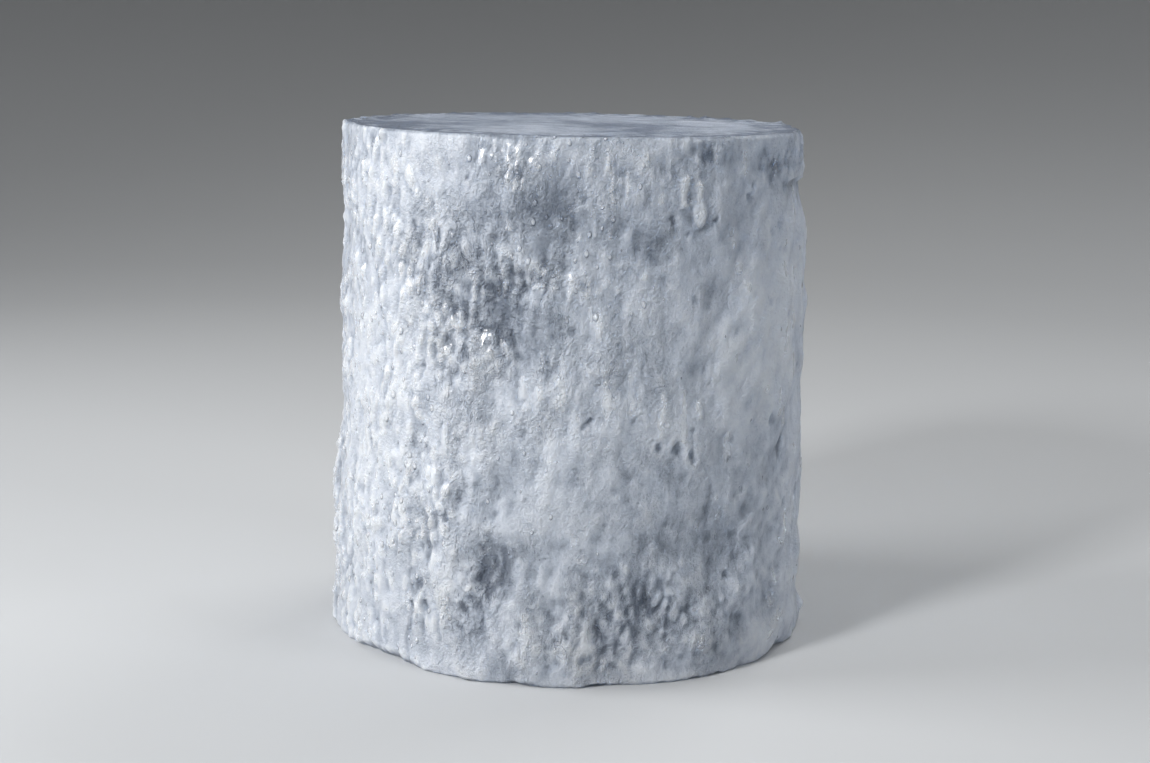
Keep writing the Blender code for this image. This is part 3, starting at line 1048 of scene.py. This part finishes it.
def wet_skin():
    """Roughness and coat of a skin that is frosted where it is dry and glossy where it is wet."""
    group, given, results = effect(
        "wet skin",
        {"Wetness": 0.5, "Drop": 0.0, "Dry Roughness": 0.45, "Wet Roughness": 0.15},
        {"Roughness": "NodeSocketFloat", "Coat": "NodeSocketFloat"},
    )
    wet = calculate(group, "ADD", given["Wetness"], given["Drop"], clamp=True)
    span = calculate(group, "SUBTRACT", given["Wet Roughness"], given["Dry Roughness"])
    roughness = calculate(group, "MULTIPLY_ADD", wet, span, given["Dry Roughness"])
    group.links.new(roughness, results.inputs["Roughness"])
    group.links.new(wet, results.inputs["Coat"])
    return group


def placed(tree, group, inputs):
    """The outputs of a group that is placed in tree with these inputs."""
    return add_node(tree, "ShaderNodeGroup", inputs, node_tree=group).outputs


def mesh_value(tree, name):
    """One of the SKIN_VALUES, as the mesh holds it."""
    return add_node(tree, "ShaderNodeAttribute", attribute_name=name).outputs["Fac"]


def ice_material(name, flakes, grain, painted_shading_tone, roughness):
    """Cloudy ice that light passes through. roughness is that of its dry and of its wet skin."""
    material = bpy.data.materials.new(name)
    material.use_nodes = True
    tree = material.node_tree
    tree.nodes.clear()
    form = placed(
        tree,
        EFFECTS["frozen grain"],
        {
            "Flakes": flakes,
            "Flaking": mesh_value(tree, "flaking"),
            "Grain": grain,
            "Sugar": mesh_value(tree, "sugar"),
            "Dew": mesh_value(tree, "dew"),
            "Wetness": mesh_value(tree, "wetness"),
        },
    )
    bump = add_node(tree, "ShaderNodeBump", {"Height": form["Height"], "Distance": MM})
    # The colour carries painted light and shade from the relief, the crevices and the hollows
    colour = placed(
        tree,
        EFFECTS["cloudy ice"],
        {
            "Clouding And Painted Light": mesh_value(tree, "clouding_and_painted_light"),
            "Crevice Shade": mesh_value(tree, "crevice_shade"),
            "Painted Shading": form["Painted Shading"],
            "Painted Shading Tone": painted_shading_tone,
        },
    )["Color"]
    dry, glossy = roughness
    skin = placed(
        tree,
        EFFECTS["wet skin"],
        {
            "Wetness": mesh_value(tree, "wetness"),
            "Drop": form["Drop"],
            "Dry Roughness": dry,
            "Wet Roughness": glossy,
        },
    )
    ice = add_node(
        tree,
        "ShaderNodeBsdfPrincipled",
        {
            "Base Color": colour,
            "Roughness": skin["Roughness"],
            "Coat Weight": skin["Coat"],
            "Normal": bump.outputs["Normal"],
            "IOR": 1.31,
            "Transmission Weight": 0.5,
            "Subsurface Weight": 0.1,
            "Subsurface Radius": (0.85, 0.95, 1.0),
            "Subsurface Scale": 0.006,
            "Coat Roughness": 0.2,
        },
        subsurface_method="RANDOM_WALK",
    )
    depth = add_node(
        tree, "ShaderNodeVolumeAbsorption", {"Color": (0.3, 0.6, 0.85, 1.0), "Density": 1.6}
    )
    output = add_node(tree, "ShaderNodeOutputMaterial", {"Volume": depth.outputs["Volume"]})
    tree.links.new(ice.outputs["BSDF"], output.inputs["Surface"])
    return material


def melted_wall_material():
    return ice_material(
        "melted wall ice", flakes=0.18, grain=0.27, painted_shading_tone=0.7, roughness=(0.42, 0.14)
    )


def sawn_face_material():
    return ice_material(
        "sawn face ice", flakes=0.04, grain=0.3, painted_shading_tone=0.5, roughness=(0.75, 0.4)
    )


EFFECTS = {group.name: group for group in (cloudy_ice(), frozen_grain(), wet_skin())}


# ---------------------------------------------------------------- floor, light and camera

# The floor is flat out to its radius, bends up, and then rises straight
FLOOR_RADIUS = 0.5
FLOOR_BEND = 0.9
FLOOR_RISE = 1.4
FLOOR_SIDES = 96
FLOOR_BEND_STEPS = 16

# Lights that face the core, with angles in degrees, distances and sizes in metres and powers in
# watts. Their beams spread less than a bare lamp's, so that they don't glare on the floor below
Light = namedtuple("Light", "name azimuth elevation distance size power")
LIGHTS = (
    Light("key_light", -88, 27, 0.75, (0.38, 0.25), 1.50),
    Light("side_light", -42, 28, 0.80, (0.12, 0.12), 1.70),
    Light("back_light", 140, 48, 1.15, (0.60, 0.40), 1.60),
    Light("fill_light", 62, 25, 0.90, (0.30, 0.30), 0.60),
    Light("top_light", 0, 89, 1.60, (1.60, 1.60), 3.00),
)
LIGHT_SPREAD = 100.0

# The camera's place and what it looks at, its roll in degrees and its lens in millimetres
CAMERA_PLACE = (0.0, -0.4043, 0.1269)
CAMERA_TARGET = (0.00094, 0.0, 0.0511)
CAMERA_ROLL = 1.03
CAMERA_LENS = 60.0


def studio_floor():
    """A round pale floor that curves up at its edge, so that it looks alike from every side."""
    profile = [(0.0, 0.0), (0.15, 0.0), (FLOOR_RADIUS, 0.0)]
    for step in range(1, FLOOR_BEND_STEPS + 1):
        turn = math.radians(90.0 * step / FLOOR_BEND_STEPS)
        profile.append(
            (FLOOR_RADIUS + FLOOR_BEND * math.sin(turn), FLOOR_BEND * (1.0 - math.cos(turn)))
        )
    profile.append((FLOOR_RADIUS + FLOOR_BEND, FLOOR_BEND + FLOOR_RISE))
    points, faces = [(0.0, 0.0, 0.0)], []
    for radius, height in profile[1:]:
        for side in range(FLOOR_SIDES):
            turn = 2.0 * math.pi * side / FLOOR_SIDES
            points.append((radius * math.cos(turn), radius * math.sin(turn), height))
    for side in range(FLOOR_SIDES):
        after = (side + 1) % FLOOR_SIDES
        faces.append((0, 1 + side, 1 + after))
        for ring in range(len(profile) - 2):
            inner = 1 + ring * FLOOR_SIDES
            outer = inner + FLOOR_SIDES
            faces.append((inner + side, outer + side, outer + after, inner + after))
    mesh = bpy.data.meshes.new("studio_floor")
    mesh.from_pydata(points, [], faces)
    mesh.shade_smooth()
    mesh.materials.append(floor_material())
    floor = bpy.data.objects.new("studio_floor", mesh)
    bpy.context.collection.objects.link(floor)
    return floor


def floor_material():
    material = bpy.data.materials.new("matt pale floor")
    material.use_nodes = True
    tree = material.node_tree
    paint = tree.nodes["Principled BSDF"]
    paint.inputs["Base Color"].default_value = (0.42, 0.43, 0.44, 1.0)
    paint.inputs["Roughness"].default_value = 0.8
    return material


def add_light(light):
    """A rectangular area light that faces the core, hidden from the camera."""
    turn, rise = math.radians(light.azimuth), math.radians(light.elevation)
    towards = Vector(
        (math.sin(turn) * math.cos(rise), -math.cos(turn) * math.cos(rise), math.sin(rise))
    )
    lamp = bpy.data.lights.new(light.name, "AREA")
    lamp.shape = "RECTANGLE"
    lamp.size, lamp.size_y = light.size
    lamp.spread = math.radians(LIGHT_SPREAD)
    lamp.energy = light.power
    lamp_object = bpy.data.objects.new(light.name, lamp)
    lamp_object.location = Vector((0.0, 0.0, CORE_HEIGHT / 2.0)) + towards * light.distance
    lamp_object.rotation_mode = "QUATERNION"
    lamp_object.rotation_quaternion = (-towards).to_track_quat("-Z", "Y")
    lamp_object.visible_camera = False
    bpy.context.collection.objects.link(lamp_object)


def add_studio_light():
    for light in LIGHTS:
        add_light(light)
    world = bpy.data.worlds.new("studio_air")
    world.use_nodes = True
    world.node_tree.nodes["Background"].inputs["Color"].default_value = (0.8, 0.85, 0.9, 1.0)
    world.node_tree.nodes["Background"].inputs["Strength"].default_value = 0.05
    bpy.context.scene.world = world


def add_camera():
    lens = bpy.data.cameras.new("camera")
    lens.lens = CAMERA_LENS
    lens.sensor_width = 36.0
    lens.clip_start = 0.01
    camera = bpy.data.objects.new("camera", lens)
    camera.location = CAMERA_PLACE
    camera.rotation_mode = "QUATERNION"
    ahead = Vector(CAMERA_TARGET) - Vector(CAMERA_PLACE)
    rolled = Quaternion((0.0, 0.0, 1.0), math.radians(CAMERA_ROLL))
    camera.rotation_quaternion = ahead.to_track_quat("-Z", "Y") @ rolled
    bpy.context.collection.objects.link(camera)
    bpy.context.scene.camera = camera


# ---------------------------------------------------------------- the scene


core = melted_core()
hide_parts(CORE_NODE)
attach(core, "root")
studio_floor()
add_studio_light()
add_camera()
bpy.context.scene.view_settings.view_transform = "Standard"
